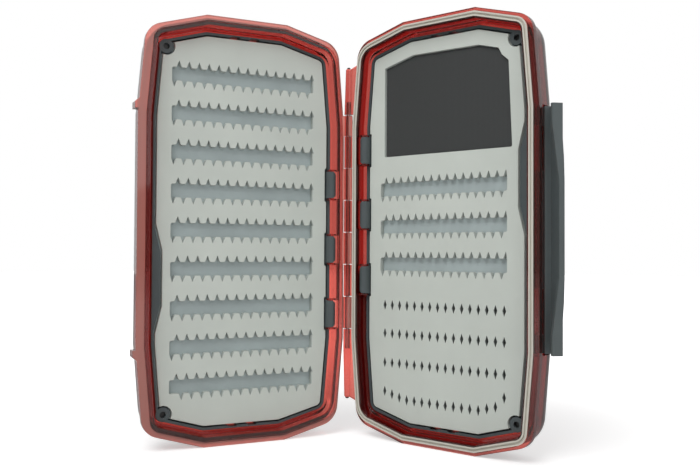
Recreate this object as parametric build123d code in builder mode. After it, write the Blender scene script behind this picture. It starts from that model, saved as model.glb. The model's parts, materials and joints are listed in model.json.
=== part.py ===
"""Hinged two-sided fly box, standing open on its end.

Every solid is drawn in a tray's own frame: out from the hinge line, deep into
the tray and up along the hinge. The base tray is square to the model and the
lid tray is the same frame turned about the hinge. Lengths are millimetres.
"""
import os
from math import cos, radians, sin, sqrt

from build123d import *

# Tray outline, measured from the hinge line and from mid height
box_height = 190.6
spine_edge = 2.3
side_edge = 99.5
spine_shoulder = 31.7
side_shoulder = 69.5
spine_slope = 0.264
side_slope = 0.295
spine_taper = 0.087
side_taper = 0.085
taper_start = 50.0
spine_corner = 9.5
side_corner = 9.0
body_corner = 13.0

# Tray section
seam_gap = 0.15
tray_depth = 17.5
back_wall = 2.0
flange_depth = 2.6
flange_step = 1.1
back_round = 7.0
floor_bevel = 3.0
well_corner = 3.6
rim_spine, rim_side, rim_end = 3.2, 5.6, 4.3
ledge_depth = 5.4
ledge_step = 1.3

# Seal with two beads, and the rib of the lid that closes between them
seal_spine, seal_side, seal_end = 1.25, 3.8, 2.55
seal_width = 2.2
seal_groove = 1.6
seal_top = -0.1
bead_gap = 0.8
bead_depth = 0.7
rib_width = 0.5
rib_height = 0.5

# Main hinge
open_angle = 114.5
barrel_radius = 2.0
pin_radius = 0.8
pin_fit = 0.01
turning_fit = 0.05
knuckle_pitch = 15.2
end_knuckle = 9.8
knuckle_gap = 0.15
fairing_end = 78.6
fairing_gap = 0.6
fairing_bend = 77.4
fairing_radius = 1.4
fairing_tip = 0.6
fairing_slope = 0.03
web_depth = 2.0
pin_bottom = -55.0
pin_top = 62.0

# Latch on the side wall of the base
latch_half = 50.2
latch_angle = 48.0
latch_out = side_edge - 2.3
latch_deep = 6.6
latch_barrel = 1.6
latch_pin_radius = 0.75
latch_pin_half = 45.0
latch_inner = 2.67
latch_outer = 4.2
latch_swell = 1.1
latch_root = 3.5
latch_reach = 11.75
hook_tip = -0.1
hook_start = 9.93
hook_full = 42.0
hook_none = 19.5
swell_end = 36.0
lug_inner = 24.0
lug_outer = 42.5
lug_gap = 0.3
pocket_half = 51.2
pocket_depth = 3.4
pocket_end = 11.2
hook_pocket_depth = 2.5
hook_pocket_end = 7.0
guard_inner = 51.6
guard_length = 5.6
guard_depth = 6.0
guard_proud = 1.3

# Swing leaf: frame, panel and mats
leaf_out = 7.3
leaf_deep = 3.3
frame_front = 5.4
frame_back = 9.9
frame_spine, frame_side, frame_end = 4.8, 7.7, 6.4
mat_spine, mat_side, mat_end = 6.9, 9.3, 8.4
frame_gap = 0.8
panel_gap = 0.4
panel_front = 7.4
panel_back = 8.6
mat_front = 5.0
mat_back = 11.0
shelf = 2.5
back_gap = 0.3
ear_out = 86.4
ear_level = 80.6
ear_radius = 3.2
ear_hole = 1.35
ear_cut = 3.9
magnet_front = 6.8
magnet_back = 9.7
keeper_front = 10.2
keeper_side = 4.0
keeper_thick = 1.2
keeper_wall = 0.9
slip = 0.02

# Clips that carry the leaf on rods of the tray
clip_levels = (38.7, 8.2, -22.4)
clip_half = 6.3
clip_slant = 1.6
clip_radius = 2.1
rod_radius = 1.1
clip_mouth = 1.7
post_half = 0.4
post_gap = 0.2
post_reach = 1.5
clip_notch = 0.6
mat_notch = 10.0

# Finger recess and the slots in the frame ends
finger_level = 21.4
finger_long = 23.8
finger_short = 12.2
finger_depth = 2.9
frame_slots = (45.4, 54.7)
frame_slot_half = 2.0

# Mat patterns
trough_height = 5.8
slit_height = 2.85
slit_mouth = 1.05
lid_pitch = 4.55
lid_row = 17.2
base_pitch = 4.18
base_rows = (19.7, 2.4, -14.9)
diamond_rows = (-33.9, -47.0, -60.5)
diamond_half = 2.3
diamond_width = 0.6
pad_gap = 0.3
pad_thick = 1.2


class Seat:
    """Local frame: out from the hinge, deep into the tray, up along the hinge."""

    def __init__(self, out, deep, origin=(0, 0, 0)):
        self.out = Vector(*out)
        self.deep = Vector(*deep)
        self.up = self.out.cross(self.deep)
        self.origin = Vector(*origin)

    def face(self, depth):
        """Sketch plane parallel to the rim, looking out of the tray."""
        return Plane(self.origin + self.deep * depth, x_dir=self.out, z_dir=self.deep * -1)

    def cut(self, level):
        """Sketch plane across the hinge line, x out and y deep."""
        return Plane(self.origin + self.up * level, x_dir=self.out, z_dir=self.up)


def turned(angle):
    """Out and deep directions of a frame opened by an angle about the vertical."""
    turn = radians(angle)
    return (cos(turn), sin(turn), 0), (-sin(turn), cos(turn), 0)


base = Seat((1, 0, 0), (0, 1, 0))
lid_turn = radians(open_angle)
lid = Seat((cos(lid_turn), -sin(lid_turn), 0), (-sin(lid_turn), -cos(lid_turn), 0))
latch_frame = Seat(*turned(latch_angle), origin=(latch_out, latch_deep, 0))


# Outlines in the tray plane


def outline_corner(run, slope, taper, end):
    """How far an outline's corner lies inside its edge, and the corner's level."""
    level = box_height / 2 - end * sqrt(1 + slope**2) - slope * (run + taper * taper_start)
    level = level / (1 - slope * taper)
    return taper * (level - taper_start), level


def outline(spine, side, end, growth=0.0, least=2.0):
    """Tray outline drawn inside the rim edge by an inset on each side."""
    spine, side, end = spine - growth, side - growth, end - growth
    top = box_height / 2 - end
    left, right = spine_edge + spine, side_edge - side
    left_in, left_level = outline_corner(spine_shoulder - left, spine_slope, spine_taper, end)
    right_in, right_level = outline_corner(right - side_shoulder, side_slope, side_taper, end)
    spine_corner_point = (left + left_in, left_level)
    side_corner_point = (right - right_in, right_level)
    upper = [
        (left, taper_start),
        spine_corner_point,
        (spine_shoulder + end * (sqrt(1 + spine_slope**2) - 1) / spine_slope, top),
        (side_shoulder - end * (sqrt(1 + side_slope**2) - 1) / side_slope, top),
        side_corner_point,
        (right, taper_start),
    ]
    lower = [(x, -y) for x, y in reversed(upper)]
    rounds = {
        spine_corner_point: max(spine_corner - spine, least),
        side_corner_point: max(side_corner - side, least),
    }
    with BuildSketch() as shape:
        with BuildLine():
            Polyline(*upper, *lower, close=True)
        make_face()
        for (x, y), radius in rounds.items():
            for level in (y, -y):
                fillet(shape.vertices().sort_by_distance((x, level, 0))[0], radius)
    return shape.sketch


def leaf_outline(growth=0.0):
    """Mat outline: clear of the ears, the finger recess and the clips."""
    edge = side_edge - mat_side + growth
    floor = edge - finger_depth
    long, short = finger_long - growth, finger_short - growth
    body = outline(mat_spine, mat_side, mat_end, growth)
    notch = mat_notch - growth - spine_edge
    notch_height = 2 * (clip_half + 2 * post_half + post_gap + 0.5 - growth)
    with BuildSketch() as shape:
        add(body)
        with Locations((ear_out, ear_level), (ear_out, -ear_level)):
            Circle(ear_cut - growth, mode=Mode.SUBTRACT)
        with Locations((ear_out + 3, ear_level + 3), (ear_out + 3, -ear_level - 3)):
            Rectangle(6, 6, mode=Mode.SUBTRACT)
        with Locations((0, finger_level)):
            Polygon(
                (edge + 1, long + 2), (edge, long), (floor, short),
                (floor, -short), (edge, -long), (edge + 1, -long - 2),
                align=None, mode=Mode.SUBTRACT,
            )
        with Locations([(spine_edge + notch / 2, level) for level in clip_levels]):
            Rectangle(notch, notch_height, mode=Mode.SUBTRACT)
    return shape.sketch


def ring(spine, side, end, width):
    """Closed band of one width, centred on inset lines."""
    half = width / 2
    outer = outline(spine - half, side - half, end - half)
    inner = outline(spine + half, side + half, end + half)
    with BuildSketch() as shape:
        add(outer)
        add(inner, mode=Mode.SUBTRACT)
    return shape.sketch


# Trays


def block(seat, front, back, shape, mode=Mode.ADD):
    """Prism of an outline between two depths."""
    with BuildSketch(seat.face(front)) as drawn:
        add(shape)
    extrude(drawn.sketch, amount=front - back, mode=mode)


def well_core(seat):
    """Solid that fills a tray below its ledge, with a bevelled floor edge."""
    well = outline(rim_spine, rim_side + ledge_step, rim_end + ledge_step, least=well_corner)
    with BuildPart() as core:
        block(seat, ledge_depth, tray_depth - back_wall, well)
        chamfer(edges().group_by(Axis((0, 0, 0), tuple(seat.deep)))[-1], floor_bevel)
    return core.part


def tray(seat):
    """Rimmed tray with a rounded back, a rim opening and an inner ledge."""
    body = outline(flange_step, flange_step, flange_step, least=body_corner)
    block(seat, seam_gap, tray_depth, body)
    fillet(edges().group_by(Axis((0, 0, 0), tuple(seat.deep)))[-1], back_round)
    block(seat, seam_gap, seam_gap + flange_depth, outline(0, 0, 0))
    mouth = outline(rim_spine, rim_side, rim_end)
    block(seat, seam_gap, ledge_depth, mouth, Mode.SUBTRACT)
    add(well_core(seat), mode=Mode.SUBTRACT)


def corner_squares(seat, front, back, side, mode=Mode.ADD):
    """Square blocks behind both outer corners of the leaf."""
    with BuildSketch(seat.face(front)) as drawn:
        with Locations((ear_out, ear_level), (ear_out, -ear_level)):
            Rectangle(side, side)
    extrude(drawn.sketch, amount=front - back, mode=mode)


def keeper_posts(seat):
    """Two posts under the outer corners of the leaf, sunk for their keepers."""
    floor = tray_depth - back_wall / 2
    corner_squares(seat, keeper_front, floor, keeper_side + 2 * keeper_wall)
    pocket = keeper_side + 2 * slip
    corner_squares(seat, keeper_front, keeper_front + keeper_thick, pocket, Mode.SUBTRACT)


def clip_rods(seat):
    """Rods between posts on the spine wall, with the rim relieved for each clip."""
    span = clip_half + 2 * post_half + post_gap
    wall = spine_edge + rim_spine
    for level in clip_levels:
        with BuildSketch(seat.face(seam_gap)) as drawn:
            with Locations((wall, level)):
                Rectangle(2 * clip_notch, 2 * (clip_half + 0.3))
        extrude(drawn.sketch, amount=seam_gap - 2 * leaf_deep, mode=Mode.SUBTRACT)
        for start in (level - span, level + span - 2 * post_half):
            with BuildSketch(seat.cut(start)) as drawn:
                with Locations((wall - clip_notch, leaf_deep)):
                    Rectangle(
                        leaf_out + post_reach - wall + clip_notch, 2 * post_reach,
                        align=(Align.MIN, Align.CENTER),
                    )
            extrude(drawn.sketch, amount=2 * post_half)
        with BuildSketch(seat.cut(level - span + post_half)) as drawn:
            with Locations((leaf_out, leaf_deep)):
                Circle(rod_radius)
        extrude(drawn.sketch, amount=2 * span - 2 * post_half)


def web(seat, low, high, slope=0.0):
    """Flat web from the hinge line to the flange, its outer end run on by a slope."""
    near, far = (low, high) if abs(low) < abs(high) else (high, low)
    reach = {}
    for level in (near, far):
        taper = spine_taper * max(abs(level) - taper_start, 0)
        reach[level] = spine_edge + taper + flange_step + 0.6
    with BuildSketch(seat.face(seam_gap)) as drawn:
        Polygon(
            (0, near), (reach[near], near), (reach[far], far * (1 + slope)), (0, far),
            align=None,
        )
    extrude(drawn.sketch, amount=seam_gap - web_depth)


def knuckle(seat, low, high):
    """Hinge barrel joined to its tray between two levels."""
    with BuildSketch(seat.cut(low)) as drawn:
        Circle(barrel_radius)
    extrude(drawn.sketch, amount=high - low)
    web(seat, low, high)


def fairing(seat, side, start):
    """Barrel run on along the spine edge, tapered and rounded off at its end."""
    stations = (
        (start, barrel_radius), (side * fairing_bend, fairing_radius),
        (side * fairing_end, fairing_tip),
    )
    for near, far in zip(stations, stations[1:]):
        rings = []
        for level, radius in (near, far):
            with BuildSketch(seat.cut(level)) as drawn:
                Circle(radius)
            rings.append(drawn.sketch)
        loft(rings)
    web(seat, start, side * fairing_bend, fairing_slope)


def side_pocket(seat, depth, end):
    """Recess in the side wall behind the rim flange, as long as the latch."""
    with BuildSketch(seat.cut(-pocket_half)) as drawn:
        with Locations((side_edge - flange_step - depth, seam_gap + flange_depth)):
            Rectangle(2 * depth, end - seam_gap - flange_depth, align=(Align.MIN, Align.MIN))
    extrude(drawn.sketch, amount=2 * pocket_half, mode=Mode.SUBTRACT)


def bore(seat, out, deep, low, high, radius):
    """Round hole along the hinge direction."""
    with BuildSketch(seat.cut(low)) as drawn:
        with Locations((out, deep)):
            Circle(radius)
    extrude(drawn.sketch, amount=high - low, mode=Mode.SUBTRACT)


def knuckle_spans(first):
    """Spans of every other knuckle, counted up from a starting step."""
    spans = [(step * knuckle_pitch, (step + 1) * knuckle_pitch) for step in range(first, 3, 2)]
    return [(low + knuckle_gap, high - knuckle_gap) for low, high in spans]


middle = 3 * knuckle_pitch
hinge_end = middle + end_knuckle

with BuildPart() as base_shell:
    tray(base)
    keeper_posts(base)
    clip_rods(base)
    for low, high in knuckle_spans(-2):
        knuckle(base, low, high)
    knuckle(base, -hinge_end, -middle - knuckle_gap)
    fairing(base, -1, -hinge_end)
    fairing(base, 1, hinge_end + fairing_gap)
    bore(base, 0, 0, pin_bottom, pin_top, pin_radius + pin_fit)
    groove = ring(seal_spine, seal_side, seal_end, seal_width)
    block(base, seam_gap, seam_gap + seal_groove, groove, Mode.SUBTRACT)
    side_pocket(base, pocket_depth, pocket_end)
    pocket_floor = side_edge - flange_step - pocket_depth
    for low in (lug_inner, -lug_outer):
        with BuildSketch(base.cut(low)):
            with Locations((latch_out, latch_deep)):
                Circle(latch_barrel)
            with Locations((pocket_floor - 0.5, latch_deep)):
                Rectangle(
                    latch_out - pocket_floor + 0.5, 2 * latch_barrel,
                    align=(Align.MIN, Align.CENTER),
                )
        extrude(amount=lug_outer - lug_inner)
    bore(base, latch_out, latch_deep, -latch_pin_half, latch_pin_half, latch_pin_radius + pin_fit)

with BuildPart() as lid_shell:
    tray(lid)
    keeper_posts(lid)
    clip_rods(lid)
    for low, high in knuckle_spans(-2):
        knuckle(lid, low, high)
    knuckle(lid, -hinge_end, -middle - knuckle_gap)
    bore(lid, 0, 0, -hinge_end - 1, middle, pin_radius + turning_fit)
    rib = ring(seal_spine, seal_side, seal_end, rib_width)
    block(lid, seam_gap - rib_height, seam_gap + flange_depth / 2, rib)
    side_pocket(lid, hook_pocket_depth, hook_pocket_end)
    for side in (1, -1):
        start = side * guard_inner
        top = side_edge + guard_proud
        root = side_edge - flange_step - 0.5
        with BuildSketch(lid.face(seam_gap)):
            Polygon(
                (root, start), (top, start), (top, start + side * guard_length / 2),
                (root, start + side * guard_length), align=None,
            )
        extrude(amount=seam_gap - guard_depth)


# Seal in the base rim

with BuildPart() as seal:
    block(base, seal_top, seam_gap + seal_groove, groove)
    between = ring(seal_spine, seal_side, seal_end, bead_gap)
    block(base, seal_top, seal_top + bead_depth, between, Mode.SUBTRACT)


# Pins

with BuildPart() as hinge_pin:
    with BuildSketch(base.cut(pin_bottom)):
        Circle(pin_radius)
    extrude(amount=pin_top - pin_bottom)

with BuildPart() as latch_pin:
    with BuildSketch(base.cut(-latch_pin_half)):
        with Locations((latch_out, latch_deep)):
            Circle(latch_pin_radius)
    extrude(amount=2 * latch_pin_half)


# Latch, drawn in its own frame: the bar runs from the pin over the seam to the hook

with BuildPart() as latch:
    outer = latch_outer + latch_swell
    with BuildSketch(latch_frame.cut(-latch_half)):
        Circle(latch_barrel)
        Polygon(
            (0, -latch_root), (latch_inner, -latch_root),
            (latch_inner, -hook_start + 0.3), (0, -hook_start),
            (hook_tip, -hook_start), (hook_tip, -latch_reach + 0.4),
            (hook_tip + 0.4, -latch_reach), (outer - 0.6, -latch_reach),
            (outer, -latch_reach + 0.8), (outer, -latch_root), (1.3, 1.4), (0, 0),
            align=None,
        )
    extrude(amount=2 * latch_half)
    gap_radius = latch_barrel + lug_gap
    for low in (lug_inner, -lug_outer):
        with BuildSketch(latch_frame.cut(low - lug_gap)):
            Circle(gap_radius)
            Rectangle(2 * gap_radius, gap_radius + 2, align=(Align.CENTER, Align.MIN))
        extrude(amount=lug_outer - lug_inner + 2 * lug_gap, mode=Mode.SUBTRACT)
    with BuildSketch(latch_frame.cut(-latch_half - 1)):
        Circle(latch_pin_radius + turning_fit)
    extrude(amount=2 * latch_half + 2, mode=Mode.SUBTRACT)
    along = Plane(
        latch_frame.origin - latch_frame.deep * (latch_root + 1),
        x_dir=latch_frame.up, z_dir=latch_frame.deep * -1,
    )
    with BuildSketch(along):
        Polygon(
            (-hook_full, -hook_tip), (-hook_none, -latch_inner), (hook_none, -latch_inner),
            (hook_full, -hook_tip), (hook_full, 2), (-hook_full, 2), align=None,
        )
    extrude(amount=latch_reach, mode=Mode.SUBTRACT)
    end = latch_half + 1
    with BuildSketch(along.offset(-2 * latch_root)):
        for side in (1, -1):
            Polygon(
                (side * hook_none, -outer), (side * swell_end, -latch_outer),
                (side * end, -latch_outer), (side * end, -2 * outer),
                (side * hook_none, -2 * outer), align=None,
            )
    extrude(amount=2 * latch_reach, mode=Mode.SUBTRACT)


# Swing leaf


def leaf_frame(seat):
    """Moulded frame with two ears, three clips and snap slots in its ends."""
    block(seat, frame_front, frame_back, outline(frame_spine, frame_side, frame_end))
    ears = [(ear_out, ear_level), (ear_out, -ear_level)]
    opening = leaf_outline(frame_gap)
    back_opening = outline(
        mat_spine + shelf, mat_side + shelf + finger_depth, mat_end + shelf, frame_gap,
    )
    block(seat, frame_front, panel_back, opening, Mode.SUBTRACT)
    block(seat, panel_back, frame_back, back_opening, Mode.SUBTRACT)
    with BuildSketch(seat.face(frame_front)) as drawn:
        with Locations(ears):
            Circle(ear_radius)
    extrude(drawn.sketch, amount=frame_front - frame_back)
    with BuildSketch(seat.face(frame_front)) as drawn:
        with Locations(ears):
            Circle(ear_hole + slip)
    extrude(drawn.sketch, amount=frame_front - frame_back, mode=Mode.SUBTRACT)
    slot_level = box_height / 2 - mat_end + 0.7
    spots = [(x, level) for x in frame_slots for level in (slot_level, -slot_level)]
    with BuildSketch(seat.face(frame_front)) as drawn:
        with Locations(spots):
            Rectangle(2 * frame_slot_half, 1.4)
    extrude(drawn.sketch, amount=frame_front - frame_back, mode=Mode.SUBTRACT)
    for level in clip_levels:
        with BuildSketch(seat.cut(level - clip_half)) as drawn:
            with Locations((leaf_out, leaf_deep)):
                Circle(clip_radius)
                Rectangle(clip_radius, frame_front - leaf_deep + 0.2, align=Align.MIN)
                Circle(rod_radius + turning_fit, mode=Mode.SUBTRACT)
                with Locations(Location((0, 0, 0), (0, 0, 135))):
                    Rectangle(
                        clip_radius + 1, clip_mouth,
                        align=(Align.MIN, Align.CENTER), mode=Mode.SUBTRACT,
                    )
        extrude(drawn.sketch, amount=2 * clip_half)
        with BuildSketch(seat.face(leaf_deep - clip_radius - 1)) as drawn:
            for end, side in ((level + clip_half, 1), (level - clip_half, -1)):
                Polygon(
                    (leaf_out, end), (leaf_out - clip_radius, end - side * clip_slant),
                    (leaf_out - clip_radius - 1, end - side * clip_slant),
                    (leaf_out - clip_radius - 1, end), align=None,
                )
        extrude(drawn.sketch, amount=-2 * clip_radius - 2, mode=Mode.SUBTRACT)


def magnet(seat, level):
    """Disc magnet pressed into one ear of the leaf frame."""
    with BuildSketch(seat.face(magnet_front)) as drawn:
        with Locations((ear_out, level)):
            Circle(ear_hole)
    extrude(drawn.sketch, amount=magnet_front - magnet_back)


def keeper(seat, level):
    """Square steel plate that the magnet of the leaf is drawn to."""
    with BuildSketch(seat.face(keeper_front)) as drawn:
        with Locations((ear_out, level)):
            Rectangle(keeper_side, keeper_side)
    extrude(drawn.sketch, amount=-keeper_thick)


def trough(left, right, level, pitch, top, bottom):
    """Slot with pointed slits along both long edges, as one closed outline."""
    half = trough_height / 2
    tip = half + slit_height
    upper = [(left, half)]
    for index in range(top[1]):
        x = top[0] + index * pitch
        upper += [(x - slit_mouth, half), (x, tip), (min(x + slit_mouth, right), half)]
    upper.append((right, half))
    lower = [(right, -half)]
    for index in reversed(range(bottom[1])):
        x = bottom[0] + index * pitch
        lower += [(min(x + slit_mouth, right), -half), (x, -tip), (x - slit_mouth, -half)]
    lower.append((left, -half))
    points = []
    for point in upper + lower:
        if not points or point != points[-1]:
            points.append(point)
    return [(x, y + level) for x, y in points]


def mat(seat, front, back, shape, troughs):
    """Sheet of an outline with every trough cut through it."""
    block(seat, front, back, shape)
    with BuildSketch(seat.face(front)) as drawn:
        for points in troughs:
            Polygon(*points, align=None)
    extrude(drawn.sketch, amount=front - back, mode=Mode.SUBTRACT)


mat_shape = leaf_outline()
panel_shape = leaf_outline(panel_gap)
back_shape = outline(
    mat_spine + shelf, mat_side + shelf + finger_depth, mat_end + shelf, frame_gap - back_gap,
)
with BuildSketch() as back_cut:
    add(back_shape)
    with Locations((ear_out, ear_level), (ear_out, -ear_level)):
        Circle(ear_cut, mode=Mode.SUBTRACT)

lid_troughs = [
    trough(16.4, 83.8, row * lid_row, lid_pitch, (19.2, 14 if row == 4 else 15), (17.0, 15))
    for row in range(-4, 5)
]
base_troughs = [
    trough(15.9, 82.1, level, base_pitch, (18.95, 16), (16.9, 16)) for level in base_rows
]
back_troughs = [
    trough(18.0, 76.0, (row - 2.5) * 25.0, 8.0, (23.0, 7), (19.0, 0)) for row in range(6)
]
for_window = [
    (18.0, 35.0), (18.0, 76.6), (34.0, 80.7), (68.3, 80.2), (78.0, 77.5),
    (79.6, 74.4), (82.8, 71.6), (84.5, 35.0),
]


def diamonds():
    """Places of the short slits below the troughs, the last row stepped."""
    columns = [18.5 + 4.16 * index for index in range(16)]
    spots = [(x, level) for level in diamond_rows for x in columns]
    for x in columns:
        level = min(76.8, 73.8 + spine_slope * (x - 18.5), 76.8 - side_slope * (x - 68.5))
        spots.append((x, -level if x < 79 else -70.1))
    return spots


with BuildPart() as base_leaf_frame:
    leaf_frame(base)

with BuildPart() as lid_leaf_frame:
    leaf_frame(lid)

with BuildPart() as base_leaf_panel:
    block(base, panel_front, panel_back, panel_shape)

with BuildPart() as lid_leaf_panel:
    block(lid, panel_front, panel_back, panel_shape)

with BuildPart() as base_front_mat:
    mat(base, mat_front, panel_front, mat_shape, base_troughs + [for_window])
    with BuildSketch(base.face(mat_front)):
        with Locations(diamonds()):
            Polygon(
                (0, diamond_half), (diamond_width, 0), (0, -diamond_half), (-diamond_width, 0),
                align=None,
            )
    extrude(amount=mat_front - panel_front, mode=Mode.SUBTRACT)

with BuildPart() as magnet_pad:
    with BuildSketch(base.face(panel_front - pad_thick)):
        Polygon(*for_window, align=None)
        offset(amount=-pad_gap)
    extrude(amount=-pad_thick)

with BuildPart() as lid_front_mat:
    mat(lid, mat_front, panel_front, mat_shape, lid_troughs)

with BuildPart() as base_back_mat:
    mat(base, panel_back, mat_back, back_cut.sketch, back_troughs)

with BuildPart() as lid_back_mat:
    mat(lid, panel_back, mat_back, back_cut.sketch, back_troughs)

with BuildPart() as base_upper_magnet:
    magnet(base, ear_level)

with BuildPart() as base_lower_magnet:
    magnet(base, -ear_level)

with BuildPart() as lid_upper_magnet:
    magnet(lid, -ear_level)

with BuildPart() as lid_lower_magnet:
    magnet(lid, ear_level)

with BuildPart() as base_upper_keeper:
    keeper(base, ear_level)

with BuildPart() as base_lower_keeper:
    keeper(base, -ear_level)

with BuildPart() as lid_upper_keeper:
    keeper(lid, -ear_level)

with BuildPart() as lid_lower_keeper:
    keeper(lid, ear_level)


# Named solids, moved so that the box stands on the ground at its own middle

named = {
    "base_shell": base_shell,
    "lid_shell": lid_shell,
    "seal": seal,
    "hinge_pin": hinge_pin,
    "latch": latch,
    "latch_pin": latch_pin,
    "base_leaf_frame": base_leaf_frame,
    "base_leaf_panel": base_leaf_panel,
    "base_front_mat": base_front_mat,
    "base_back_mat": base_back_mat,
    "magnet_pad": magnet_pad,
    "base_upper_magnet": base_upper_magnet,
    "base_lower_magnet": base_lower_magnet,
    "base_upper_keeper": base_upper_keeper,
    "base_lower_keeper": base_lower_keeper,
    "lid_leaf_frame": lid_leaf_frame,
    "lid_leaf_panel": lid_leaf_panel,
    "lid_front_mat": lid_front_mat,
    "lid_back_mat": lid_back_mat,
    "lid_upper_magnet": lid_upper_magnet,
    "lid_lower_magnet": lid_lower_magnet,
    "lid_upper_keeper": lid_upper_keeper,
    "lid_lower_keeper": lid_lower_keeper,
}

whole = Compound(children=[Compound(builder.part.wrapped) for builder in named.values()])
extent = whole.bounding_box()
stand = Location((-extent.center().X, -extent.center().Y, -extent.min.Z))
os.makedirs("parts", exist_ok=True)
for name, builder in named.items():
    solid = builder.part.moved(stand)
    solid.label = name
    export_step(solid, f"parts/{name}.step")
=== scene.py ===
import json
from math import pi, radians, tan

import bmesh
import bpy
from mathutils import Euler, Matrix, Vector


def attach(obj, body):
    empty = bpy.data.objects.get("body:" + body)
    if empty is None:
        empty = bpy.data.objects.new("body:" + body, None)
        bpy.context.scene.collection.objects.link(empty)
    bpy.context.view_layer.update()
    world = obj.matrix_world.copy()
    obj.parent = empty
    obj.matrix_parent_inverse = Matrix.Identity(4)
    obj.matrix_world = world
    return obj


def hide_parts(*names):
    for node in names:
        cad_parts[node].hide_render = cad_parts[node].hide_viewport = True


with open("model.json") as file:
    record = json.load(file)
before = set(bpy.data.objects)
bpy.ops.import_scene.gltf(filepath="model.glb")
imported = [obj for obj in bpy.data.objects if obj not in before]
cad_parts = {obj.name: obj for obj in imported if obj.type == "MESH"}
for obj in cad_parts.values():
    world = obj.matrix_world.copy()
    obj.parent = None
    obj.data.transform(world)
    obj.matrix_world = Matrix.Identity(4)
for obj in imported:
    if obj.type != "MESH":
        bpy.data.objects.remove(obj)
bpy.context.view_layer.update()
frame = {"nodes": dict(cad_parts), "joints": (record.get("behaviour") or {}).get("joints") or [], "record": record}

MM = 0.001

joints = {joint["name"]: joint for joint in frame["joints"]}
hinge = Vector(joints["lid_hinge"]["pos_m"])


# ------------------------------------------------------------------ node trees

def srgb(red, green, blue):
    """Scene colour of an 8-bit sRGB colour."""
    def linear(value):
        value /= 255
        return value / 12.92 if value <= 0.04045 else ((value + 0.055) / 1.055) ** 2.4
    return (linear(red), linear(green), linear(blue), 1.0)


def shade(colour, factor):
    return tuple(channel * factor for channel in colour[:3]) + (1.0,)


class Nodes:
    """Short calls that build one node tree."""

    def __init__(self, tree):
        self.tree = tree

    def add(self, kind, **settings):
        """New node, with its inputs and properties set by name."""
        made = self.tree.nodes.new(kind)
        for key, value in settings.items():
            if key in made.inputs:
                made.inputs[key].default_value = value
            else:
                setattr(made, key, value)
        return made

    def link(self, source, target):
        self.tree.links.new(source, target)

    def math(self, operation, first, second):
        """Result of one sum on two numbers or sockets."""
        made = self.add("ShaderNodeMath", operation=operation)
        for value, socket in zip((first, second), made.inputs):
            if isinstance(value, (int, float)):
                socket.default_value = value
            else:
                self.link(value, socket)
        return made.outputs[0]

    def spread(self, source, span, low, high, kind="SMOOTHSTEP"):
        """Step from low to high while the source runs over a span."""
        made = self.add("ShaderNodeMapRange", interpolation_type=kind)
        names = ("From Min", "From Max", "To Min", "To Max")
        for name, value in zip(names, (*span, low, high)):
            made.inputs[name].default_value = value
        self.link(source, made.inputs["Value"])
        return made.outputs["Result"]


class Surface(Nodes):
    """Material around one Principled shader, with softened edges."""

    def __init__(self, name, edge=0.12 * MM, **sockets):
        self.material = bpy.data.materials.new(name)
        self.material.use_nodes = True
        super().__init__(self.material.node_tree)
        self.shader = self.tree.nodes["Principled BSDF"]
        for socket, value in sockets.items():
            self.shader.inputs[socket.replace("_", " ")].default_value = value
        self.coords = self.add("ShaderNodeTexCoord").outputs["Object"]
        if edge:
            soft = self.add("ShaderNodeBevel", samples=4, Radius=edge)
            self.link(soft.outputs["Normal"], self.shader.inputs["Normal"])

    def noise(self, scale, detail, stretch=None):
        made = self.add("ShaderNodeTexNoise", Scale=scale, Detail=detail, Roughness=0.55)
        source = self.coords
        if stretch:
            mapping = self.add("ShaderNodeMapping", Scale=stretch)
            self.link(source, mapping.inputs["Vector"])
            source = mapping.outputs["Vector"]
        self.link(source, made.inputs["Vector"])
        return made.outputs["Fac"]

    def along(self, axis, span):
        """0 to 1 while a coordinate of the piece runs over a span."""
        place = self.add("ShaderNodeSeparateXYZ")
        self.link(self.coords, place.inputs[0])
        return self.spread(place.outputs[axis], span, 0.0, 1.0, "LINEAR")

    def ramp(self, source, *stops):
        """Colour ramp from (position, colour) stops."""
        made = self.add("ShaderNodeValToRGB")
        elements = made.color_ramp.elements
        elements[0].position, elements[1].position = stops[0][0], stops[-1][0]
        elements[0].color, elements[1].color = stops[0][1], stops[-1][1]
        for position, colour in stops[1:-1]:
            elements.new(position).color = colour
        self.link(source, made.inputs["Fac"])
        return made.outputs["Color"]

    def colour(self, source):
        self.link(source, self.shader.inputs["Base Color"])

    def cloud(self, source, colour, dark, light):
        """Base colour that wanders a little between a darker and a lighter shade."""
        self.colour(self.ramp(source, (0.3, shade(colour, dark)), (0.7, shade(colour, light))))

    def rough(self, source, low, high):
        self.link(self.spread(source, (0, 1), low, high, "LINEAR"), self.shader.inputs["Roughness"])

    def bump(self, source, strength, distance):
        """Fine relief on top of the softened edges."""
        made = self.add("ShaderNodeBump", Strength=strength, Distance=distance)
        self.link(source, made.inputs["Height"])
        normal = self.shader.inputs["Normal"]
        if normal.links:
            self.link(normal.links[0].from_socket, made.inputs["Normal"])
        self.link(made.outputs["Normal"], normal)


# ------------------------------------------------------------------- materials

def silicone(name, colour):
    """Matt rubber with a faint cloud and a very fine skin."""
    made = Surface(name, edge=0.1 * MM, Specular_IOR_Level=0.35)
    made.cloud(made.noise(35.0, 3.0), colour, 0.965, 1.03)
    made.rough(made.noise(900.0, 2.0), 0.55, 0.72)
    made.bump(made.noise(2200.0, 3.0), 0.12, 0.2 * MM)
    return made


def moulded(name, colour, roughness=0.45, grain=3000.0, edge=0.2 * MM):
    """Satin plastic with a spark-eroded grain."""
    made = Surface(name, edge=edge)
    made.cloud(made.noise(60.0, 3.0), colour, 0.93, 1.07)
    made.rough(made.noise(500.0, 3.0), roughness - 0.07, roughness + 0.08)
    made.bump(made.noise(grain, 2.0), 0.2, 0.2 * MM)
    return made


def sheet(name, colour):
    return moulded(name, colour, roughness=0.5, grain=1500.0)


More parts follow.
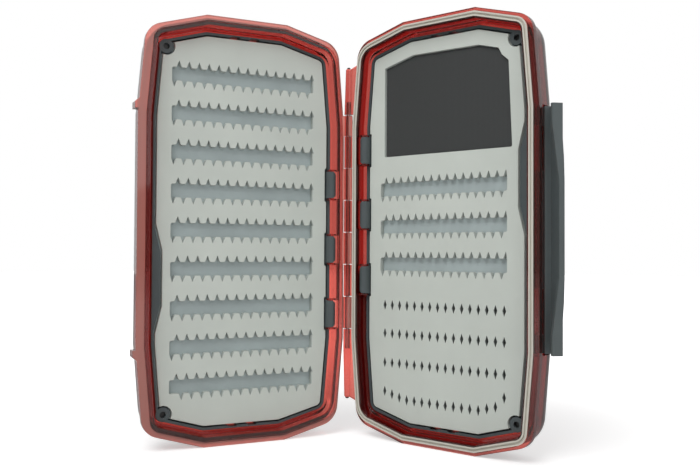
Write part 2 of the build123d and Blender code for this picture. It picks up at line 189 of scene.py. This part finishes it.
def sheet_with_painted_shade(name, colour, painted_shade_colour, level):
    """Sheet with a dark colour below one level as painted shade, guessed from the dark short slits."""
    made = sheet(name, colour)
    mix = made.add("ShaderNodeMix", data_type="RGBA")
    mix.inputs["A"].default_value = painted_shade_colour
    made.link(made.along("Z", (level - MM, level + MM)), mix.inputs["Factor"])
    made.link(made.shader.inputs["Base Color"].links[0].from_socket, mix.inputs["B"])
    made.colour(mix.outputs["Result"])
    return made


def clear_plastic(name, clarity, soak):
    """Polished clear plastic that reddens with its thickness; its surface colour comes after."""
    made = Surface(name, edge=0.3 * MM, IOR=1.55, Transmission_Weight=clarity)
    made.rough(made.noise(140.0, 3.0), 0.02, 0.08)
    made.bump(made.noise(120.0, 2.0), 0.03, 0.4 * MM)
    volume = made.add("ShaderNodeVolumeAbsorption", Color=(0.74, 0.14, 0.11, 1.0), Density=soak)
    made.link(volume.outputs["Volume"], made.tree.nodes["Material Output"].inputs["Volume"])
    return made


def polycarbonate(name, clarity, soak, tint):
    """Clear plastic of one tint."""
    made = clear_plastic(name, clarity, soak)
    made.cloud(made.noise(18.0, 2.0), tint, 0.97, 1.02)
    return made


def polycarbonate_painted_shade_and_light(name, clarity, soak, dark, tint, light):
    """Clear plastic with painted shade by the rim and painted light at the root of the wall."""
    made = clear_plastic(name, clarity, soak)
    # The colour runs from painted shade to painted light with the depth into the tray.
    depth = made.along("Y", (hinge.y + 0.8 * MM, hinge.y + 5.4 * MM))
    made.colour(made.ramp(depth, (0.0, dark), (0.84, tint), (1.0, light)))
    return made


def magnet_sheet(name, dark, light):
    """Dark rubber sheet with fine upright ribs."""
    made = Surface(name, edge=None)
    wave = made.add("ShaderNodeTexWave", Scale=520.0, Distortion=0.2, bands_direction="X")
    made.link(made.coords, wave.inputs["Vector"])
    ribs = wave.outputs["Fac"]
    made.colour(made.ramp(ribs, (0.2, dark), (0.8, light)))
    made.rough(made.noise(700.0, 2.0), 0.45, 0.6)
    made.bump(ribs, 0.15, 0.1 * MM)
    return made


def ground_steel(name, colour):
    """Steel with upright streaks, along the pins."""
    made = Surface(name, edge=None, Metallic=1.0)
    streak = made.noise(1500.0, 4.0, stretch=(1.0, 1.0, 0.05))
    made.cloud(streak, colour, 0.85, 1.1)
    made.rough(streak, 0.22, 0.4)
    return made


def coated(name, colour):
    """Smooth coating with a faint orange peel."""
    made = Surface(name, edge=0.1 * MM, Roughness=0.35)
    made.cloud(made.noise(400.0, 2.0), colour, 0.8, 1.3)
    made.bump(made.noise(1800.0, 2.0), 0.15, 0.2 * MM)
    return made


PANEL_COLOUR = srgb(174, 186, 186)
# The base panel is painted dark below this level, as painted shade for the short slits.
PAINTED_SHADE_TOP = 69 * MM  # above the rows of short slits, below the lowest trough

surfaces = {
    "shell": polycarbonate("clear_orange_red", 0.96, 520.0, (0.88, 0.36, 0.30, 1.0)),
    "seal": silicone("seal_silicone", srgb(208, 204, 193)),
    "mat": silicone("mat_silicone", srgb(203, 209, 202)),
    "panel": sheet("panel_sheet", PANEL_COLOUR),
    "frame": moulded("frame_moulding", srgb(76, 84, 86)),
    "latch": moulded("latch_moulding", srgb(84, 92, 93), roughness=0.42, edge=0.5 * MM),
    "pad": magnet_sheet("ribbed_magnet_sheet", srgb(54, 56, 56), srgb(61, 63, 63)),
    "magnet": coated("black_coating", srgb(14, 14, 14)),
    "steel": ground_steel("pin_steel", (0.62, 0.62, 0.62, 1.0)),
}
# The tooth and slit walls are darker copies of the mat silicone: painted shade.
mat_surfaces = (
    surfaces["mat"],
    silicone("tooth_wall_painted_shade", srgb(174, 180, 175)),
    silicone("slit_wall_painted_shade", srgb(116, 121, 118)),
)
# The base's inner wall gets a copy of the plastic with painted shade and painted light.
inner_wall_painted_shade_and_light = polycarbonate_painted_shade_and_light(
    "clear_red_painted_shade_and_light", 0.8, 420.0,
    dark=(0.22, 0.005, 0.004, 1.0), tint=(0.48, 0.008, 0.006, 1.0), light=(0.90, 0.22, 0.19, 1.0),
)
# The lid's outer rim gets a lighter, cloudier copy of the plastic: painted light.
rim_painted_light = polycarbonate("clear_rim_painted_light", 0.6, 260.0, (0.97, 0.36, 0.30, 1.0))

for entry in frame["record"]["subparts"]:
    node = frame["nodes"][entry["node"]]
    node.data.materials.clear()
    node.data.materials.append(surfaces[entry["material_slot"]].material)

# The lower part of the base panel carries painted shade, seen through the short slits.
frame["nodes"]["base_leaf_panel"].data.materials[0] = sheet_with_painted_shade(
    "panel_sheet_painted_shade", PANEL_COLOUR, srgb(46, 48, 47), PAINTED_SHADE_TOP,
).material


# ------------------------------------------------------------- tray directions

class Tray:
    """Directions of one half: out from the hinge, deep into the tray, and up."""

    def __init__(self, half, up):
        self.deep = -Vector(joints[f"{half}_mat_lift"]["axis"])
        self.up = Vector((0, 0, up))
        self.out = self.deep.cross(self.up)

    def depth(self, point):
        return (point - hinge).dot(self.deep)

    def flat(self, point):
        """Place of a point in the plane of the tray's rim."""
        offset = point - hinge
        return Vector((offset.dot(self.out), offset.dot(self.up)))

    def place(self, flat, depth):
        return hinge + self.out * flat.x + self.up * flat.y + self.deep * depth


trays = {"base": Tray("base", 1), "lid": Tray("lid", -1)}


# ----------------------------------------------------------------- flat loops

STRAIGHT = radians(1)  # turns below this belong to one straight side
BLUNT = radians(14)  # turns below this keep their corner
SHARP = radians(100)  # turns above this belong to the tip of a tooth
LONGEST_REACH = 0.42  # of a side, so that the curves at its two ends don't meet
CURVE = (0, 0.25, 0.5, 0.75, 1)


def rim_links(work, tray, level):
    """Neighbours of each vertex along the edges of the faces at one depth."""
    flat = {
        face for face in work.faces
        if all(abs(tray.depth(vert.co) - level) < 0.01 * MM for vert in face.verts)
    }
    links = {}
    for edge in work.edges:
        if sum(face in flat for face in edge.link_faces) == 1:
            for here, there in (edge.verts, reversed(edge.verts)):
                links.setdefault(here.index, []).append(there.index)
    return links


def outlines(mesh, tray, level):
    """Edge loops of the flat face of a mesh that lies at one depth of a tray."""
    work = bmesh.new()
    work.from_mesh(mesh)
    bmesh.ops.remove_doubles(work, verts=work.verts, dist=0.001 * MM)
    links = rim_links(work, tray, level)
    points = [tray.flat(vert.co) for vert in work.verts]
    work.free()
    loops, seen = [], set()
    for start in links:
        loop, here = [], start
        while here is not None and here not in seen:
            seen.add(here)
            loop.append(points[here])
            here = next((index for index in links[here] if index not in seen), None)
        if loop:
            loops.append(straightened(loop))
    return sorted(loops, key=lambda loop: -abs(area(loop)))


def corner_turn(before, point, after):
    return (point - before).angle(after - point)


def straightened(loop):
    """Loop without the points that lie along its straight sides."""
    return [
        point for index, point in enumerate(loop)
        if corner_turn(loop[index - 1], point, loop[(index + 1) % len(loop)]) > STRAIGHT
    ]


def area(loop):
    return sum(here.cross(there) for here, there in zip(loop, loop[1:] + loop[:1])) / 2


def encloses(loop, point):
    """True if a closed loop runs round a point."""
    crossings = 0
    for here, there in zip(loop, loop[1:] + loop[:1]):
        if (here.y > point.y) != (there.y > point.y):
            share = (point.y - here.y) / (there.y - here.y)
            crossings += here.x + share * (there.x - here.x) > point.x
    return crossings % 2 == 1


def rounded(loop, radius, tip):
    """Loop with a curve at each corner, of one reach where the corner is sharp."""
    result = []
    for index, point in enumerate(loop):
        before, after = loop[index - 1], loop[(index + 1) % len(loop)]
        turn = corner_turn(before, point, after)
        if turn < BLUNT:
            result.append(point)
            continue
        reach = tip if turn > SHARP else radius * tan(turn / 2)
        side = min((point - before).length, (after - point).length)
        reach = min(reach, LONGEST_REACH * side)
        start = point + (before - point).normalized() * reach
        end = point + (after - point).normalized() * reach
        for share in CURVE:
            bend = start * (1 - share) ** 2 + point * 2 * share * (1 - share) + end * share ** 2
            result.append(bend)
    return result


def widened(loop, factor):
    """Loop stretched sideways about its middle."""
    middle = sum(point.x for point in loop) / len(loop)
    return [Vector((middle + (point.x - middle) * factor, point.y)) for point in loop]


def shrunk(loop, distance):
    """Loop moved to its left, which is inwards for a loop that runs round anticlockwise."""
    moved = []
    for index, point in enumerate(loop):
        along = (loop[(index + 1) % len(loop)] - point).normalized()
        along += (point - loop[index - 1]).normalized()
        along.normalize()
        moved.append(point + Vector((-along.y, along.x)) * distance)
    return moved


# ------------------------------------------------------------------ soft mats

TOOTH_RADIUS = 0.75 * MM
TOOTH_TIP = 0.15 * MM
MAT_EDGE = 0.16 * MM
EDGE_MIDDLE = 0.3  # share of the softened edge at its middle ring
SLIT_WIDENING = 1.22  # the photo shows the short slits wider than the solid has them
SLIT_CORNERS = 4  # a short slit is a diamond
DEPTH_DIGITS = 5  # 0.01 mm, which drops the float noise of the imported vertices
# Material slots of a mat: its face, and its tooth and slit walls in painted shade.
FACE, TOOTH_WALL, SLIT_WALL = range(3)


def mat_loops(mesh, tray, front):
    """Loops of a mat, each with its wall material: the outline first, then the openings."""
    for index, sharp in enumerate(outlines(mesh, tray, front)):
        slit = len(sharp) == SLIT_CORNERS
        loop = widened(sharp, SLIT_WIDENING) if slit else rounded(sharp, TOOTH_RADIUS, TOOTH_TIP)
        if (area(loop) > 0) != (index == 0):
            loop.reverse()
        yield loop, FACE if index == 0 else SLIT_WALL if slit else TOOTH_WALL


def add_wall(work, tray, loop, front, back, material):
    """Wall of one loop, with its front edge softened."""
    inward = MAT_EDGE if back > front else -MAT_EDGE
    rings = (
        (shrunk(loop, MAT_EDGE), front),
        (shrunk(loop, MAT_EDGE * EDGE_MIDDLE), front + inward * EDGE_MIDDLE),
        (loop, front + inward),
        (loop, back),
    )
    verts = [[work.verts.new(tray.place(p, depth)) for p in flat] for flat, depth in rings]
    for near, far in zip(verts, verts[1:]):
        for step in range(len(near)):
            face = work.faces.new((near[step - 1], near[step], far[step], far[step - 1]))
            face.material_index = material


def fill_face(work, tray, depth):
    """Flat face between all the loops at one depth."""
    edges = [
        edge for edge in work.edges
        if all(abs(tray.depth(vert.co) - depth) < 0.001 * MM for vert in edge.verts)
    ]
    bmesh.ops.triangle_fill(work, edges=edges, use_beauty=True)


def smooth_walls(work, tray):
    """Smooth the walls, and keep the flat faces and sharp edges crisp."""
    bmesh.ops.recalc_face_normals(work, faces=work.faces)
    for face in work.faces:
        face.smooth = abs(face.normal.dot(tray.deep)) < 0.999
    for edge in work.edges:
        edge.smooth = edge.calc_face_angle(pi) < radians(40)


def soft_mat(half, side):
    """Mat with rounded teeth and softened edges, in place of its solid."""
    name = f"{half}_{side}_mat"
    tray, solid = trays[half], frame["nodes"][name].data
    depths = [round(tray.depth(vert.co), DEPTH_DIGITS) for vert in solid.vertices]
    front, back = min(depths), max(depths)
    if side == "back":
        front, back = back, front
    work = bmesh.new()
    for loop, material in mat_loops(solid, tray, front):
        add_wall(work, tray, loop, front, back, material)
    fill_face(work, tray, front)
    fill_face(work, tray, back)
    smooth_walls(work, tray)
    mesh = bpy.data.meshes.new(f"{name}_soft")
    work.to_mesh(mesh)
    work.free()
    made = bpy.data.objects.new(f"{name}_soft", mesh)
    bpy.context.collection.objects.link(made)
    for surface in mat_surfaces:
        mesh.materials.append(surface.material)
    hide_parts(name)
    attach(made, body_of(name))


def body_of(name):
    bodies = frame["record"]["behaviour"]["bodies"]
    return next(body for body, names in bodies.items() if name in names)


for half in trays:
    for side in ("front", "back"):
        soft_mat(half, side)


# -------------------------------------------------------------- painted light and shade on the shells

RIB_TOP = -0.35 * MM  # front of the lid's sealing rib
RIM_BACK = 1.0 * MM  # the front of the rim lies less deep than this
WALL_FRONT, WALL_BACK = 0.2 * MM, 12.0 * MM  # the inner wall lies between these depths


def paint_shell_light_and_shade(half, surface, chosen):
    """Give the chosen faces of a shell their own material, a copy of its plastic with painted light and shade."""
    tray, mesh = trays[half], frame["nodes"][f"{half}_shell"].data
    mesh.materials.append(surface.material)
    sides = [tray.flat(vert.co).x for vert in mesh.vertices]
    middle = Vector(((max(sides) + min(sides)) / 2, 0))
    for face in mesh.polygons:
        if chosen(tray, face, middle):
            face.material_index = 1


def inner_wall(tray, face, middle):
    """True for a face that looks into the tray from its side wall."""
    inward = middle - tray.flat(face.center)
    normal = Vector((face.normal.dot(tray.out), face.normal.dot(tray.up)))
    inside = WALL_FRONT < tray.depth(face.center) < WALL_BACK
    turned_in = normal.dot(inward) > 0.3 * inward.length
    return inside and turned_in


lid_rib = outlines(frame["nodes"]["lid_shell"].data, trays["lid"], RIB_TOP)[0]


def outer_rim(tray, face, middle):
    """True for a face outside the sealing rib that looks out of the tray."""
    facing = face.normal.dot(tray.deep) < -0.9 and tray.depth(face.center) < RIM_BACK
    return facing and not encloses(lid_rib, tray.flat(face.center))


# Painted shade and light on the base's inner wall, painted light on the lid's outer rim.
paint_shell_light_and_shade("base", inner_wall_painted_shade_and_light, inner_wall)
paint_shell_light_and_shade("lid", rim_painted_light, outer_rim)


# ------------------------------------------------------------- floor and light

FLOOR_SIZE = 6.0
FLOOR_ALBEDO = 0.8
FLOOR_GLOW = 0.44  # beside the box, where its shadow has to show
FLOOR_FADE = (0.10, 0.45)  # distances over which the glow rises to white


def white_floor():
    """White sweep: keeps a soft shadow by the box and whitens away from it."""
    material = bpy.data.materials.new("white_floor")
    material.use_nodes = True
    material.node_tree.nodes.clear()
    nodes = Nodes(material.node_tree)
    distance = nodes.add("ShaderNodeVectorMath", operation="LENGTH")
    nodes.link(nodes.add("ShaderNodeNewGeometry").outputs["Position"], distance.inputs[0])
    glow = nodes.spread(distance.outputs["Value"], FLOOR_FADE, FLOOR_GLOW, 1.0)
    path = nodes.add("ShaderNodeLightPath").outputs
    seen = nodes.math("MAXIMUM", path["Is Camera Ray"], path["Is Transmission Ray"])
    light = nodes.add("ShaderNodeEmission")
    nodes.link(nodes.math("MULTIPLY", glow, seen), light.inputs["Strength"])
    paper = nodes.add("ShaderNodeBsdfDiffuse", Color=(FLOOR_ALBEDO,) * 3 + (1.0,))
    both = nodes.add("ShaderNodeAddShader")
    nodes.link(paper.outputs[0], both.inputs[0])
    nodes.link(light.outputs[0], both.inputs[1])
    nodes.link(both.outputs[0], nodes.add("ShaderNodeOutputMaterial").inputs["Surface"])
    return material


def studio_floor():
    bpy.ops.mesh.primitive_plane_add(size=FLOOR_SIZE, location=(0, 0, 0))
    made = bpy.context.object
    made.name = "studio_floor"
    made.data.materials.append(white_floor())


def studio_world(view, ambient, ceiling, backdrop):
    """White to the camera; to other rays a dim room with a lit backdrop and ceiling."""
    world = bpy.data.worlds.new("studio")
    bpy.context.scene.world = world
    world.use_nodes = True
    nodes = Nodes(world.node_tree)
    direction = nodes.add("ShaderNodeTexCoord").outputs["Generated"]
    path = nodes.add("ShaderNodeLightPath").outputs

    def lobe(aim, span, strength):
        """Light that grows towards one direction; the span is of the cosine to it."""
        dot = nodes.add("ShaderNodeVectorMath", operation="DOT_PRODUCT")
        nodes.link(direction, dot.inputs[0])
        dot.inputs[1].default_value = aim
        return nodes.spread(dot.outputs["Value"], span, 0.0, strength)

    level = nodes.math("ADD", lobe((0, 0, 1), (0.45, 0.9), ceiling), ambient)
    level = nodes.math("ADD", lobe(view, (0.62, 0.93), backdrop), level)
    seen_through = lobe(view, (-0.3, 0.6), 0.95)
    seen_mirrored = lobe(view, (-0.1, 0.35), 0.9)
    through = nodes.math("MULTIPLY", seen_through, path["Is Transmission Ray"])
    mirrored = nodes.math("MULTIPLY", seen_mirrored, path["Is Glossy Ray"])
    for share in (through, mirrored, path["Is Camera Ray"]):
        level = nodes.math("MAXIMUM", level, share)
    back = world.node_tree.nodes["Background"]
    nodes.link(level, back.inputs["Strength"])
    back.inputs["Color"].default_value = (1, 1, 1, 1)


def area_light(name, power, size, location, target):
    data = bpy.data.lights.new(name, "AREA")
    data.energy = power
    data.shape = "DISK"
    data.size = size
    lamp = bpy.data.objects.new(name, data)
    bpy.context.collection.objects.link(lamp)
    lamp.location = location
    aim = Vector(target) - Vector(location)
    lamp.rotation_euler = aim.to_track_quat("-Z", "Y").to_euler()


# --------------------------------------------------------------------- camera

FOCAL_PIXELS, IMAGE_WIDTH, SENSOR = 840.0, 700.0, 36.0
BEARING = radians(39.42)
STATION = Vector((0.97, -399.8, 0.0)) * MM  # from the lid hinge, before the bearing turns it
HEIGHT = 85.3 * MM
PITCH, ROLL = radians(1.35), radians(0.29)


def photo_camera():
    """Camera where the photo was taken from."""
    data = bpy.data.cameras.new("camera")
    data.sensor_width = SENSOR
    data.lens = FOCAL_PIXELS / IMAGE_WIDTH * SENSOR
    camera = bpy.data.objects.new("camera", data)
    bpy.context.collection.objects.link(camera)
    camera.location = Vector((hinge.x, hinge.y, HEIGHT))
    camera.location += Matrix.Rotation(BEARING, 3, "Z") @ STATION
    level = Euler((pi / 2 + PITCH, 0, BEARING)).to_matrix()
    camera.rotation_euler = (level @ Matrix.Rotation(ROLL, 3, "Z")).to_euler()
    bpy.context.scene.camera = camera


studio_floor()
view = Matrix.Rotation(BEARING, 3, "Z") @ Vector((0, 1, 0))
studio_world(view, ambient=0.16, ceiling=0.5, backdrop=0.8)
area_light("key", power=7.0, size=0.8, location=(0.14, -0.74, 0.95), target=(0, 0, 0.08))
area_light("fill", power=2.0, size=0.9, location=(0.95, -0.35, 0.6), target=(0, 0, 0.09))
photo_camera()
bpy.context.scene.view_settings.view_transform = "Standard"
